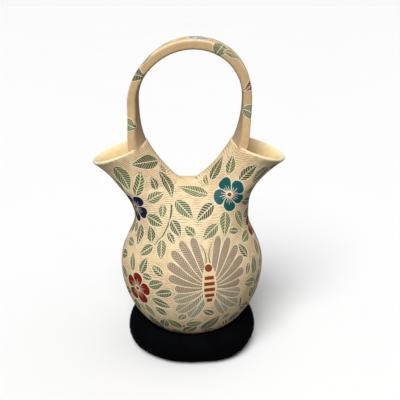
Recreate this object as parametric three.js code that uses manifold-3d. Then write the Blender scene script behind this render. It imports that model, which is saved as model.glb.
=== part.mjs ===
// A two-spouted wedding vase of coiled clay, standing in a stuffed velvet ring. The clay is in the four
// parts that it is built up from: a pressed bowl, the coiled body, the pair of spouts and the handle.
// Millimetres, +Z up. X runs from spout to spout, and the front faces -Y.
import * as THREE from 'three';
import { mergeVertices } from 'three/addons/utils/BufferGeometryUtils.js';
import Module from 'manifold-3d';

// The pot: a round underside and belly, then a waist.
const undersideHeight = 10;
const bellyHeight = 86;
const bellyRadius = 68.5;
const bellyRise = 62;
const waistHeight = 134;
const waistHalfWidth = 54;
const waistHalfDepth = 48;
const waistRise = 40;
const waistNarrowing = 18;
const wall = 5;
const lipWall = 3;

// The spouts: each leans out to a tip, and its heel stands beside the loop of the handle.
const tipHeight = 187;
const tipReach = 88;
const sideRise = 66;
const tipFlare = 68;
const tipRise = 46;
const heelHeight = 206;
const heelReach = 38;
const heelLean = 38;
const heelRise = 72;
const mouthHalfDepth = 27;

// The saddle between the spouts.
const saddleHeight = 167;
const saddleReach = 18;
const ridgeReach = 42;
const shoulderRise = 46;
const saddleLobeDepth = 34.5;
const saddleShare = 0.5;
const lobeGrowth = 0.8;

// The strap handle: an arch from the heel of one mouth to the heel of the other.
const handleTopHeight = 298;
const handleHalfSpan = 51;
const handleSpanHeight = 243;
const limbPull = 34;
const strapThickness = 9;
const limbThickness = 8.5;
const strapDepth = 29;
const strapRootDepth = 41;
const strapSquareness = 6;
const strapSink = 0.8;
const tongueShare = 0.68;
const tongueThickness = 2.6;
const tongueDepth = 18;
const tongueCurl = 1.3;
const tongueProbe = 0.01;

// Where the clay parts are luted together, and the gap between them.
const spoutJointHeight = 152;
const handleJointHeight = 222;
const jointGap = 0.3;

// The hand-built pot wanders from its axis, and its right spout stands higher than its left one.
const spoutTilt = 0.024;
const wanderAtSaddle = -3.5;
const wanderAtTips = -2.5;
const wanderAtSpan = -1;
const wanderAtTop = 2;

// The ring: a stuffed tube, flat on the floor and pressed to the form of the pot.
const ringRadius = 43.5;
const ringTubeHalfWidth = 20;
const ringTubeHalfHeight = 20;
const ringTubeCentreHeight = 18;
const restGap = 0.3;

// How finely the surfaces are divided.
const quarterSteps = 12;
const undersideSteps = 10;
const bellySteps = 6;
const shoulderSteps = 10;
const spoutSteps = 8;
const lipSteps = 3;
const thinningRows = 3;
const insideStride = 2;
const smoothingPasses = 10;
const smoothingOnset = 3;
const archSteps = 14;
const limbSteps = 5;
const tongueSteps = 4;
const sectionSteps = 20;
const ringSteps = 36;
const ringTubeSteps = 16;
const quarterTurn = Math.PI / 2;
const wholeTurn = Math.PI * 2;

const clay = new THREE.MeshStandardMaterial({ color: 0xe3c99a, roughness: 0.55, metalness: 0 });
const velvet = new THREE.MeshStandardMaterial({ color: 0x0b0d12, roughness: 0.95, metalness: 0 });

const wasm = await Module();
wasm.setup();

function blend(from, to, share) {
  return from + (to - from) * share;
}

function ease(share) {
  return share * share * (3 - 2 * share);
}

// A smooth curve between two points of a plane, leaving and arriving along the given pulls.
function bend(start, startPull, end, endPull, share) {
  const square = share * share;
  const cube = square * share;
  const point = new THREE.Vector2();
  point.addScaledVector(start, 2 * cube - 3 * square + 1);
  point.addScaledVector(startPull, cube - 2 * square + share);
  point.addScaledVector(end, 3 * square - 2 * cube);
  point.addScaledVector(endPull, cube - square);
  return point;
}

// The side of the pot from its underside up to the widest part: a quarter of an ellipse.
function undersideProfile(share) {
  const angle = share * quarterTurn;
  const height = blend(undersideHeight, bellyHeight, 1 - Math.cos(angle));
  return new THREE.Vector2(bellyRadius * Math.sin(angle), height);
}

// From the widest part up to the waist, for the half width or the half depth at the waist, and for how
// much it still narrows there.
function bellyProfile(waistReach, narrowing, share) {
  const widest = new THREE.Vector2(bellyRadius, bellyHeight);
  const waist = new THREE.Vector2(waistReach, waistHeight);
  const pull = new THREE.Vector2(-narrowing, waistRise);
  return bend(widest, new THREE.Vector2(0, bellyRise), waist, pull, share);
}

// From the waist out to the tip of a spout.
function sideProfile(share) {
  const waist = new THREE.Vector2(waistHalfWidth, waistHeight);
  const tip = new THREE.Vector2(tipReach, tipHeight);
  const flare = new THREE.Vector2(tipFlare, tipRise);
  return bend(waist, new THREE.Vector2(0, sideRise), tip, flare, share);
}

// From the waist up the middle of the front to the ridge of the saddle: depth and height.
function shoulderProfile(share) {
  const waist = new THREE.Vector2(waistHalfDepth, waistHeight);
  const ridge = new THREE.Vector2(0, saddleHeight);
  const inward = new THREE.Vector2(-ridgeReach, 0);
  return bend(waist, new THREE.Vector2(-waistNarrowing, shoulderRise), ridge, inward, share);
}

// From the middle of the saddle up to the heel of a mouth.
function saddleProfile(share) {
  const middle = new THREE.Vector2(0, saddleHeight);
  const heel = new THREE.Vector2(heelReach, heelHeight);
  const lean = new THREE.Vector2(heelLean, heelRise);
  return bend(middle, new THREE.Vector2(saddleReach, 0), heel, lean, share);
}

// A level line of the pot: its inner end and its side, its half depth in the middle and in the lobes
// on both sides, and how far it has turned from a waisted line into an oval.
function levelLine(row) {
  const aboveUnderside = row - undersideSteps;
  const aboveWaist = aboveUnderside - bellySteps;
  if (aboveUnderside <= 0) {
    const side = undersideProfile(row / undersideSteps);
    return { inner: new THREE.Vector2(0, side.y), side, middle: side.x, lobe: 0, roundness: 0 };
  }
  if (aboveWaist <= 0) {
    const side = bellyProfile(waistHalfWidth, 0, aboveUnderside / bellySteps);
    const depth = bellyProfile(waistHalfDepth, waistNarrowing, aboveUnderside / bellySteps).x;
    return { inner: new THREE.Vector2(0, side.y), side, middle: depth, lobe: 0, roundness: 0 };
  }
  if (aboveWaist <= shoulderSteps) {
    const share = aboveWaist / shoulderSteps;
    const front = shoulderProfile(share);
    return {
      inner: new THREE.Vector2(0, front.y),
      side: sideProfile(share * saddleShare),
      middle: front.x,
      lobe: saddleLobeDepth * Math.sin(share * quarterTurn) ** lobeGrowth,
      roundness: 0,
    };
  }
  const share = (aboveWaist - shoulderSteps) / spoutSteps;
  return {
    inner: saddleProfile(share),
    side: sideProfile(blend(saddleShare, 1, share)),
    middle: 0,
    lobe: blend(saddleLobeDepth, mouthHalfDepth, share),
    roundness: ease(share),
  };
}

// A point of a level line, from its inner end (0) round the front to its side (1).
function levelPoint({ inner, side, middle, lobe, roundness }, turn) {
  const sine = Math.sin(turn * quarterTurn);
  const rise = sine * sine;
  const waisted = Math.sqrt(blend(inner.x * inner.x, side.x * side.x, rise));
  const oval = blend(inner.x, side.x, rise);
  const y = -Math.sqrt((middle * middle + 4 * lobe * lobe * rise) * (1 - rise));
  return new THREE.Vector3(blend(waisted, oval, roundness), y, blend(inner.y, side.y, rise));
}

const rows = undersideSteps + bellySteps + shoulderSteps + spoutSteps;
const saddleRow = rows - spoutSteps;

// One stroke of the hand over the shoulders and spouts: each depth goes to the mean around it.
function smoothDepths(skin) {
  const before = skin.map((line) => line.map((point) => point.clone()));
  for (let row = undersideSteps + 1; row < rows; row += 1) {
    for (let column = row < saddleRow ? 0 : 1; column < quarterSteps; column += 1) {
      const around = [[row - 1, column], [row + 1, column], [row, column - 1], [row, column + 1]];
      const mean = around.reduce((sum, place) => sum + skinPoint(before, ...place).y, 0) / around.length;
      const firmness = ease(Math.min((row - undersideSteps) / bellySteps, 1)) ** smoothingOnset;
      skin[row][column].y = blend(before[row][column].y, mean, firmness);
    }
  }
}

// The skin of one quarter of the pot: rows upward, and columns from the inner end to the side.
function quarterSkin() {
  const skin = [];
  for (let row = 0; row <= rows; row += 1) {
    const level = levelLine(row);
    const line = [];
    for (let column = 0; column <= quarterSteps; column += 1) {
      line.push(levelPoint(level, column / quarterSteps));
    }
    skin.push(line);
  }
  for (let pass = 0; pass < smoothingPasses; pass += 1) {
    smoothDepths(skin);
  }
  return skin;
}

// A point of the skin, or its mirror image where the column lies past the quarter's edge.
function skinPoint(skin, row, column) {
  const line = skin[Math.min(Math.max(row, 0), rows)];
  const point = line[quarterSteps - Math.abs(quarterSteps - Math.abs(column))].clone();
  if (column > quarterSteps || (column < 0 && row > saddleRow)) {
    point.y = -point.y;
  } else if (column < 0) {
    point.x = -point.x;
  }
  return point;
}

// The outward direction at a point of the skin.
function skinNormal(skin, row, column) {
  if (row === 0) {
    return new THREE.Vector3(0, 0, -1);
  }
  if (row === saddleRow && column === 0) {
    return new THREE.Vector3(0, 0, 1);
  }
  const upward = skinPoint(skin, row + 1, column).sub(skinPoint(skin, row - 1, column));
  const around = skinPoint(skin, row, column + 1).sub(skinPoint(skin, row, column - 1));
  return around.cross(upward).normalize();
}

// How thick the wall is at a row: it thins out towards the lip.
function wallAt(row) {
  return blend(wall, lipWall, ease(Math.max(1 - (rows - row) / thinningRows, 0)));
}

// The whole quarter from the underside over the lip and down the inside of the wall.
function quarterWall() {
  const skin = quarterSkin();
  const inside = skin.map((line, row) => line.map((point, column) => (
    point.clone().addScaledVector(skinNormal(skin, row, column), -wallAt(row))
  )));
  const lip = [];
  for (let step = 1; step < lipSteps; step += 1) {
    const angle = step / lipSteps * Math.PI;
    lip.push(skin[rows].map((outer, column) => {
      const inner = inside[rows][column];
      const middle = outer.clone().lerp(inner, 0.5);
      const across = outer.clone().sub(middle);
      const along = outer.clone().sub(skin[rows - 1][column]);
      along.addScaledVector(across, -along.dot(across) / across.lengthSq()).normalize();
      middle.addScaledVector(across, Math.cos(angle));
      return middle.addScaledVector(along, Math.sin(angle) * lipWall / 2);
    }));
  }
  return [...skin, ...lip, ...inside.filter((line, row) => row % insideStride === 0).reverse()];
}

// A closed geometry from grids of points; a mirrored grid has its faces turned over.
function closedGeometry(grids) {
  const corners = [];
  for (const { grid, turned } of grids) {
    for (let row = 1; row < grid.length; row += 1) {
      for (let column = 1; column < grid[row].length; column += 1) {
        const low = grid[row - 1][column - 1];
        const right = grid[row - 1][column];
        const high = grid[row][column];
        const left = grid[row][column - 1];
        corners.push(...(turned ? [low, high, right, low, left, high] : [low, right, high, low, high, left]));
      }
    }
  }
  return new THREE.BufferGeometry().setFromPoints(corners);
}

// The same geometry with its shared corners joined and its empty faces left out.
function solidOf(geometry) {
  const bare = geometry.clone();
  bare.deleteAttribute('normal');
  bare.deleteAttribute('uv');
  const merged = mergeVertices(bare);
  const index = merged.getIndex().array;
  const faces = [];
  for (let start = 0; start < index.length; start += 3) {
    const [first, second, third] = index.slice(start, start + 3);
    if (first !== second && second !== third && third !== first) {
      faces.push(first, second, third);
    }
  }
  const vertProperties = new Float32Array(merged.getAttribute('position').array);
  return new wasm.Manifold(new wasm.Mesh({ numProp: 3, vertProperties, triVerts: new Uint32Array(faces) }));
}

function meshOf(name, solid, material) {
  const { vertProperties, triVerts } = solid.getMesh();
  const geometry = new THREE.BufferGeometry();
  geometry.setAttribute('position', new THREE.BufferAttribute(vertProperties, 3));
  geometry.setIndex(new THREE.BufferAttribute(triVerts, 1));
  geometry.computeVertexNormals();
  const mesh = new THREE.Mesh(geometry, material);
  mesh.name = name;
  return mesh;
}

// Where a point of the even form lies on the hand-built pot.
const heights = [0, waistHeight, saddleHeight, tipHeight, handleSpanHeight, handleTopHeight];
const wanders = [0, 0, wanderAtSaddle, wanderAtTips, wanderAtSpan, wanderAtTop];

function handBuilt({ x, y, z }) {
  const next = Math.max(1, Math.min(heights.findIndex((height) => height >= z), heights.length - 1));
  const last = heights.length - 1;
  const upper = z > heights[last] ? last : next;
  const share = Math.min((z - heights[upper - 1]) / (heights[upper] - heights[upper - 1]), 1);
  const wander = blend(wanders[upper - 1], wanders[upper], ease(share));
  const lift = x * spoutTilt * ease(Math.min(Math.max((z - waistHeight) / (tipHeight - waistHeight), 0), 1));
  return new THREE.Vector3(x + wander, y, z + lift);
}

// The hollow pot with its two spouts: one quarter and its three mirror images.
function potSolid() {
  const quarter = quarterWall();
  const grids = [[1, 1], [-1, 1], [1, -1], [-1, -1]].map(([acrossX, acrossY]) => ({
    grid: quarter.map((line) => line.map(({ x, y, z }) => handBuilt({ x: x * acrossX, y: y * acrossY, z }))),
    turned: acrossX * acrossY < 0,
  }));
  return solidOf(closedGeometry(grids));
}

// One half of the strap's path, from the top of the arch down into the heel of a mouth.
function strapStations() {
  const middleRise = handleTopHeight - strapThickness / 2 - handleSpanHeight;
  const heelCurl = (tipReach - heelReach) / 2 / (mouthHalfDepth * mouthHalfDepth);
  const lean = new THREE.Vector2(heelLean, heelRise).normalize();
  const outward = new THREE.Vector2(lean.y, -lean.x);
  const heel = new THREE.Vector2(heelReach, heelHeight);
  heel.addScaledVector(outward, limbThickness / 2 + strapSink);
  const limb = new THREE.Vector2(handleHalfSpan, handleSpanHeight);
  const stations = [];
  for (let step = 0; step <= archSteps; step += 1) {
    const angle = (1 - step / archSteps) * quarterTurn;
    const height = handleSpanHeight + middleRise * Math.sin(angle);
    const centre = new THREE.Vector2(handleHalfSpan * Math.cos(angle), height);
    const thickness = blend(strapThickness, limbThickness, ease(step / archSteps));
    stations.push({ centre, thickness, depth: strapDepth, curl: 0 });
  }
  for (let step = 1; step <= limbSteps; step += 1) {
    const share = step / limbSteps;
    const down = lean.clone().multiplyScalar(-limbPull);
    const centre = bend(limb, new THREE.Vector2(0, -limbPull), heel, down, share);
    const depth = blend(strapDepth, strapRootDepth, ease(share));
    stations.push({ centre, thickness: limbThickness, depth, curl: heelCurl * ease(share) });
  }
  for (let step = 1; step <= tongueSteps; step += 1) {
    const share = step / tongueSteps;
    const along = blend(1, tongueShare, share);
    const face = saddleProfile(along);
    const ahead = saddleProfile(along + tongueProbe).sub(saddleProfile(along - tongueProbe)).normalize();
    const thickness = blend(limbThickness, tongueThickness, share);
    const sink = blend(strapSink + limbThickness / 2, wall / 2, share);
    const centre = face.add(new THREE.Vector2(ahead.y, -ahead.x).multiplyScalar(sink));
    const curl = heelCurl * blend(1, tongueCurl, share);
    stations.push({ centre, thickness, depth: blend(strapRootDepth, tongueDepth, share), curl });
  }
  return stations;
}

// The closed line of the strap's section: a rectangle with rounded corners.
function strapSection({ centre, thickness, depth, curl }, outward) {
  const line = [];
  for (let step = 0; step <= sectionSteps; step += 1) {
    const angle = step / sectionSteps * wholeTurn;
    const cosine = Math.cos(angle);
    const sine = Math.sin(angle);
    const round = (cosine ** strapSquareness + sine ** strapSquareness) ** (-1 / strapSquareness);
    const y = depth / 2 * round * sine;
    const offset = thickness / 2 * round * cosine + curl * y * y / 2;
    line.push(handBuilt({ x: centre.x + outward.x * offset, y, z: centre.y + outward.y * offset }));
  }
  return line;
}

function handleSolid() {
  const right = strapStations();
  const left = right.slice(1).reverse().map((station) => (
    { ...station, centre: new THREE.Vector2(-station.centre.x, station.centre.y) }
  ));
  const stations = [...left, ...right];
  const lines = stations.map((station, index) => {
    const before = stations[Math.max(index - 1, 0)].centre;
    const after = stations[Math.min(index + 1, stations.length - 1)].centre;
    const ahead = after.clone().sub(before).normalize();
    return strapSection(station, new THREE.Vector2(-ahead.y, ahead.x));
  });
  const ends = [lines[0], lines[lines.length - 1]].map((line) => {
    const total = line.slice(1).reduce((sum, point) => sum.add(point), new THREE.Vector3());
    return line.map(() => total.clone().divideScalar(sectionSteps));
  });
  return solidOf(closedGeometry([{ grid: [ends[0], ...lines, ends[1]], turned: true }]));
}

// A turned solid from a closed outline of radius and height.
function turnedSolid(outline) {
  const turned = new THREE.LatheGeometry(outline, ringSteps).rotateX(quarterTurn);
  return solidOf(turned);
}

// The ring: an oval tube cut flat by the floor, less the room of the pot's underside.
function ringSolid() {
  const footAngle = Math.asin(ringTubeCentreHeight / ringTubeHalfHeight);
  const outline = [];
  for (let step = 0; step <= ringTubeSteps; step += 1) {
    const angle = -footAngle + step / ringTubeSteps * (Math.PI + 2 * footAngle);
    const height = ringTubeCentreHeight + ringTubeHalfHeight * Math.sin(angle);
    outline.push(new THREE.Vector2(ringRadius + ringTubeHalfWidth * Math.cos(angle), height));
  }
  outline.push(outline[0].clone());
  const room = [new THREE.Vector2(0, undersideHeight - restGap)];
  for (let step = 1; step <= undersideSteps; step += 1) {
    const angle = step / undersideSteps * quarterTurn;
    const rise = new THREE.Vector2(bellyRadius + restGap, bellyHeight - undersideHeight + restGap);
    room.push(new THREE.Vector2(rise.x * Math.sin(angle), bellyHeight - rise.y * Math.cos(angle)));
  }
  room.push(new THREE.Vector2(0, bellyHeight));
  return turnedSolid(outline).subtract(turnedSolid(room));
}

// The part of a solid between two heights, with half a joint's gap left at both.
function course(solid, low, high) {
  return solid.trimByPlane([0, 0, 1], low + jointGap / 2).trimByPlane([0, 0, -1], jointGap / 2 - high);
}

const vase = potSolid().add(handleSolid());
const weddingVase = new THREE.Group();
weddingVase.add(meshOf('vase_bowl', course(vase, 0, bellyHeight), clay));
weddingVase.add(meshOf('vase_body', course(vase, bellyHeight, spoutJointHeight), clay));
weddingVase.add(meshOf('vase_spouts', course(vase, spoutJointHeight, handleJointHeight), clay));
weddingVase.add(meshOf('vase_handle', course(vase, handleJointHeight, handleTopHeight + jointGap), clay));
weddingVase.add(meshOf('ring_cushion', ringSolid(), velvet));
weddingVase.position.x = -wanderAtTips;

export default weddingVase;
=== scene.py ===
import math
import random

import bmesh
import bpy
import numpy as np
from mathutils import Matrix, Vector
from mathutils.geometry import delaunay_2d_cdt


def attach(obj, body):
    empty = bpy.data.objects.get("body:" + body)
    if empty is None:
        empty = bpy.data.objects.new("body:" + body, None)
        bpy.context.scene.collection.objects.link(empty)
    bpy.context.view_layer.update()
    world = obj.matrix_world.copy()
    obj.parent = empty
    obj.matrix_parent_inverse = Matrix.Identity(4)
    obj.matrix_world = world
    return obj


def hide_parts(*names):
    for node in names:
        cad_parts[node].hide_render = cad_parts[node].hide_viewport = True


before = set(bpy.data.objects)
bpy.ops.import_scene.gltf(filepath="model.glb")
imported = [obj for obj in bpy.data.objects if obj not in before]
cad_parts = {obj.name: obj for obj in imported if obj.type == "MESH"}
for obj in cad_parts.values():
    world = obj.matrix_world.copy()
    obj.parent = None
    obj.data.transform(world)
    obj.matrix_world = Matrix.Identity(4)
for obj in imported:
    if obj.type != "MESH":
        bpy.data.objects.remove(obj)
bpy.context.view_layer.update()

# THE COILED POT
# A round pot of pale clay with two spouts, built up from a pressed bowl with coils, scraped thin and
# burnished. Sizes in this file are in millimetres, until a piece's points are set down in metres.

underside_height = 10.0
belly_height, belly_radius, belly_rise = 86.0, 68.5, 62.0
waist_height, waist_half_width, waist_half_depth = 134.0, 54.0, 48.0
waist_rise, waist_narrowing = 40.0, 18.0
wall, lip_wall, thinning_rows = 5.0, 3.0, 3
tip_height, tip_reach, side_rise, tip_flare, tip_rise = 187.0, 88.0, 66.0, 68.0, 46.0
heel_height, heel_reach, heel_lean, heel_rise = 206.0, 38.0, 38.0, 72.0
mouth_half_depth = 27.0
saddle_height, saddle_reach, ridge_reach, shoulder_rise = 167.0, 18.0, 42.0, 46.0
saddle_lobe_depth, saddle_share, lobe_growth = 34.5, 0.5, 0.8
spout_tilt = 0.024
wander_heights = (0.0, 134.0, 167.0, 187.0, 243.0, 298.0)
wanders = (0.0, 0.0, -3.5, -2.5, -1.0, 2.0)
centring = 2.5

underside_rows, belly_rows, shoulder_rows, spout_rows = 10, 6, 10, 8
saddle_row = underside_rows + belly_rows + shoulder_rows
rim_row = saddle_row + spout_rows
fineness = 4
quarter_columns = 12 * fineness
hand_strokes = 10 * fineness ** 2
quarter_turn = math.pi / 2
short_of_end = 1.000001
metres = 0.001


def blend(start, end, share):
    return start + (end - start) * share


def ease(share):
    return share * share * (3 - 2 * share)


def lengths(vectors):
    return np.linalg.norm(vectors, axis=-1)


def bend(start, start_pull, end, end_pull, share):
    """A smooth curve between two points of a plane, leaving and arriving along the given pulls."""
    square, cube = share ** 2, share ** 3
    weights = (2 * cube - 3 * square + 1, cube - 2 * square + share, 3 * square - 2 * cube, cube - square)
    corners = (start, start_pull, end, end_pull)
    return tuple(sum(weight * corner[axis] for weight, corner in zip(weights, corners)) for axis in (0, 1))


def side_profile(share):
    waist, tip = (waist_half_width, waist_height), (tip_reach, tip_height)
    return bend(waist, (0, side_rise), tip, (tip_flare, tip_rise), share)


def saddle_profile(share):
    saddle, heel = (0, saddle_height), (heel_reach, heel_height)
    return bend(saddle, (saddle_reach, 0), heel, (heel_lean, heel_rise), share)


def level_line(row):
    """The pot's level line at a row: inner end, side, half depth in the middle and the lobes, roundness."""
    above_underside = row - underside_rows
    above_waist = above_underside - belly_rows
    if above_underside <= 0:
        angle = row / underside_rows * quarter_turn
        side = (belly_radius * math.sin(angle), blend(underside_height, belly_height, 1 - math.cos(angle)))
        return (0, side[1]), side, side[0], 0, 0
    if above_waist <= 0:
        share = above_underside / belly_rows
        widest, lift = (belly_radius, belly_height), (0, belly_rise)
        side = bend(widest, lift, (waist_half_width, waist_height), (0, waist_rise), share)
        front = bend(widest, lift, (waist_half_depth, waist_height), (-waist_narrowing, waist_rise), share)
        return (0, side[1]), side, front[0], 0, 0
    if above_waist <= shoulder_rows:
        share = above_waist / shoulder_rows
        waist, lift = (waist_half_depth, waist_height), (-waist_narrowing, shoulder_rise)
        front = bend(waist, lift, (0, saddle_height), (-ridge_reach, 0), share)
        lobe = saddle_lobe_depth * math.sin(share * quarter_turn) ** lobe_growth
        return (0, front[1]), side_profile(share * saddle_share), front[0], lobe, 0
    share = (above_waist - shoulder_rows) / spout_rows
    side = side_profile(blend(saddle_share, 1, share))
    return saddle_profile(share), side, 0, blend(saddle_lobe_depth, mouth_half_depth, share), ease(share)


def quarter_of_pot():
    """One quarter of the pot's skin, rows by columns, from the middle of the front to the right side."""
    rise = np.sin(np.linspace(0, 1, quarter_columns + 1) * quarter_turn) ** 2
    lines = []
    for step in range(rim_row * fineness + 1):
        inner, side, middle, lobe, roundness = level_line(step / fineness)
        waisted = np.sqrt(blend(inner[0] ** 2, side[0] ** 2, rise))
        across = blend(waisted, blend(inner[0], side[0], rise), roundness)
        depth = -np.sqrt((middle ** 2 + 4 * lobe ** 2 * rise) * np.maximum(1 - rise, 0))
        lines.append(np.column_stack([across, depth, blend(inner[1], side[1], rise)]))
    skin = np.array(lines)
    depth = skin[:, :, 1]
    row = np.arange(len(depth))[:, None] / fineness
    column = np.arange(quarter_columns + 1)[None, :]
    firmness = ease(np.clip((row - underside_rows) / belly_rows, 0, 1)) ** 3
    free = (row > underside_rows) & (row < rim_row) & (column < quarter_columns)
    free = free & ((column > 0) | (row < saddle_row))
    firmness = np.where(free, firmness, 0)
    turned = np.where(row > saddle_row, -1, 1)
    for stroke in range(hand_strokes):
        right = np.hstack([depth[:, 1:], -depth[:, -2:-1]])
        left = np.hstack([depth[:, 1:2] * turned, depth[:, :-1]])
        above = np.vstack([depth[1:], depth[-1:]])
        below = np.vstack([depth[:1], depth[:-1]])
        depth = blend(depth, (right + left + above + below) / 4, firmness)
    skin[:, :, 1] = depth
    return skin


def hand_built(points):
    """Where points of the even form lie on the pot as the hand left it."""
    height = points[:, 2]
    upper = np.clip(np.searchsorted(wander_heights, height), 1, len(wanders) - 1)
    low, high = np.take(wander_heights, upper - 1), np.take(wander_heights, upper)
    share = np.clip((height - low) / (high - low), 0, 1)
    wander = blend(np.take(wanders, upper - 1), np.take(wanders, upper), ease(share))
    climbed = np.clip((height - waist_height) / (tip_height - waist_height), 0, 1)
    lift = points[:, 0] * spout_tilt * ease(climbed)
    return np.column_stack([points[:, 0] + wander + centring, points[:, 1], height + lift])


def picked(grid, row, column):
    """The grid's points at broken rows and columns."""
    row = np.clip(row, 0, grid.shape[0] - short_of_end)
    column = np.clip(column, 0, grid.shape[1] - short_of_end)
    low, left = row.astype(int), column.astype(int)
    up, right = (row - low)[:, None], (column - left)[:, None]
    lower = blend(grid[low, left], grid[low, left + 1], right)
    upper = blend(grid[low + 1, left], grid[low + 1, left + 1], right)
    return blend(lower, upper, up)


pot_quarter = quarter_of_pot()


def pot_skin(spots, side=None):
    """Points of the pot's skin. A spot is quarter turns from the middle of the front, and rows up."""
    around = (spots[:, 0] + 2) % 4 - 2 if side is None else spots[:, 0]
    side = np.where(around < 0, -1.0, 1.0) if side is None else side
    fold = np.abs(around)
    column = np.where(fold > 1, 2 - fold, fold) * quarter_columns
    points = picked(pot_quarter, spots[:, 1] * fineness, column)
    points[:, 0] *= side
    points[:, 1] *= np.where(fold > 1, -1, 1)
    return hand_built(points)


# THE STRAP HANDLE
# A flat strap of the same clay, arched from the heel of one mouth to the heel of the other. Its ends
# are luted on and drawn down over the throats in thin tongues.

handle_top_height, handle_half_span, handle_span_height, limb_pull = 298.0, 51.0, 243.0, 34.0
strap_thickness, limb_thickness, strap_depth, strap_root_depth = 9.0, 8.5, 29.0, 41.0
strap_squareness, strap_sink = 6, 0.8
tongue_share, tongue_thickness, tongue_depth, tongue_curl = 0.68, 2.6, 18.0, 1.3
arch_steps, limb_steps, tongue_steps, section_steps = 56, 20, 16, 96
tongue_probe = 0.01


def strap_grid():
    """The strap's skin: sections from the left tongue over the arch to the right one."""
    heel_curl = (tip_reach - heel_reach) / 2 / mouth_half_depth ** 2
    length = math.hypot(heel_lean, heel_rise)
    lean = (heel_lean / length, heel_rise / length)
    sunk = limb_thickness / 2 + strap_sink
    heel = (heel_reach + lean[1] * sunk, heel_height - lean[0] * sunk)
    middle_rise = handle_top_height - strap_thickness / 2 - handle_span_height
    half = []
    for step in range(arch_steps + 1):
        share = step / arch_steps
        angle = (1 - share) * quarter_turn
        centre = (handle_half_span * math.cos(angle), handle_span_height + middle_rise * math.sin(angle))
        half.append((*centre, blend(strap_thickness, limb_thickness, ease(share)), strap_depth, 0))
    for step in range(1, limb_steps + 1):
        share = step / limb_steps
        down = (-lean[0] * limb_pull, -lean[1] * limb_pull)
        centre = bend((handle_half_span, handle_span_height), (0, -limb_pull), heel, down, share)
        depth = blend(strap_depth, strap_root_depth, ease(share))
        half.append((*centre, limb_thickness, depth, heel_curl * ease(share)))
    for step in range(1, tongue_steps + 1):
        share = step / tongue_steps
        along = blend(1, tongue_share, share)
        face = saddle_profile(along)
        ahead, behind = saddle_profile(along + tongue_probe), saddle_profile(along - tongue_probe)
        reach = math.hypot(ahead[0] - behind[0], ahead[1] - behind[1])
        sink = blend(strap_sink + limb_thickness / 2, wall / 2, share)
        run, rise = (ahead[0] - behind[0]) / reach, (ahead[1] - behind[1]) / reach
        centre = (face[0] + rise * sink, face[1] - run * sink)
        depth = blend(strap_root_depth, tongue_depth, share)
        thickness = blend(limb_thickness, tongue_thickness, share)
        half.append((*centre, thickness, depth, heel_curl * blend(1, tongue_curl, share)))
    stations = [(-x, *rest) for x, *rest in reversed(half[1:])] + half
    path = np.array([station[:2] for station in stations])
    ahead = np.gradient(path, axis=0)
    ahead /= lengths(ahead)[:, None]
    angle = np.linspace(-math.pi, math.pi, section_steps + 1)
    cosine, sine = np.cos(angle), np.sin(angle)
    spread = (cosine ** strap_squareness + sine ** strap_squareness) ** (-1 / strap_squareness)
    lines = []
    for (x, z, thickness, depth, curl), (run, rise) in zip(stations, ahead):
        y = depth / 2 * spread * sine
        offset = thickness / 2 * spread * cosine + curl * y * y / 2
        lines.append(hand_built(np.column_stack([x - rise * offset, y, z + run * offset])))
    steps = lengths(np.diff(path, axis=0))
    return np.array(lines), np.concatenate([[0], np.cumsum(steps)])


strap_lines, strap_marks = strap_grid()
strap_length = strap_marks[-1]


def strap_skin(spots, side=None):
    """Points of the strap. A spot is turns round the section from its outer face, and mm along it."""
    column = (spots[:, 0] + 0.5) * section_steps
    row = np.interp(spots[:, 1], strap_marks, np.arange(len(strap_marks)))
    return picked(strap_lines, row, column)


# THE SLIP PAINTING
# Coloured slips laid on in flat shapes, then outlined, veined and hatched with a point that scratches
# through to the pale clay. A shape keeps where it lies on the skin, its colour and its strokes.

walk_steps, probe = 5, 0.004
cut_width, deep_cut, widest_shape = 0.85, 0.16, 44.0
fork_reach, lowest_row, lip_margin = 0.93, 3.4, 0.7
spray_clearances = ((0.12, 1.2), (0.5, 4.4), (0.88, 2.2))
leaf_belly, leaf_sharpness, lobe_swell, ribbon_taper = 0.8, 1.1, 0.75, 0.6


def srgb(*channels):
    """A screen's colour, 0 to 255, as the linear values that a material takes."""
    return tuple(((c / 255 + 0.055) / 1.055) ** 2.4 if c > 10 else c / 255 / 12.92 for c in channels)


cream_cut = srgb(246, 230, 192)
leaf_greens = (srgb(88, 102, 60), srgb(72, 86, 50), srgb(102, 114, 74), srgb(62, 76, 42))
stem_green = srgb(84, 92, 56)
petal_red, petal_navy = srgb(128, 24, 9), srgb(14, 24, 62)
petal_turquoise, petal_pale_blue = srgb(10, 88, 92), srgb(112, 136, 186)
wing_mauve, wing_grey = srgb(130, 106, 90), srgb(142, 132, 116)
body_rust, body_cream, dark_line = srgb(140, 58, 26), srgb(238, 212, 162), srgb(52, 40, 32)
# A pale cream painted on each lip and along the strap's corners as their highlight.
inside_cream, edge_highlight_cream = srgb(232, 204, 150), srgb(248, 232, 190)
# The strap's sides are plain buff clay painted darker as shade, and its inner face is darker still as painted
# shade.
strap_side_buff_and_shade, strap_inner_painted_shade = srgb(214, 180, 134), srgb(190, 164, 130)

# Scratched strokes: mm from one to the next, how steeply they slant, and the widths of a stroke and of
# half the midrib.
no_strokes = (1.0, 0.0, 0.0, 0.0)
leaf_strokes = (2.5, 0.9, 0.6, 0.4)
feather_strokes = (1.9, 0.6, 0.55, 0.0)
herringbone_strokes = (2.2, 0.9, 0.75, 0.45)

limits = {pot_skin: (0.3, rim_row - 0.02), strap_skin: (0.5, strap_length - 0.5)}
shapes = {pot_skin: [], strap_skin: []}
taken = {pot_skin: np.zeros((0, 3)), strap_skin: np.zeros((0, 3))}


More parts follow.
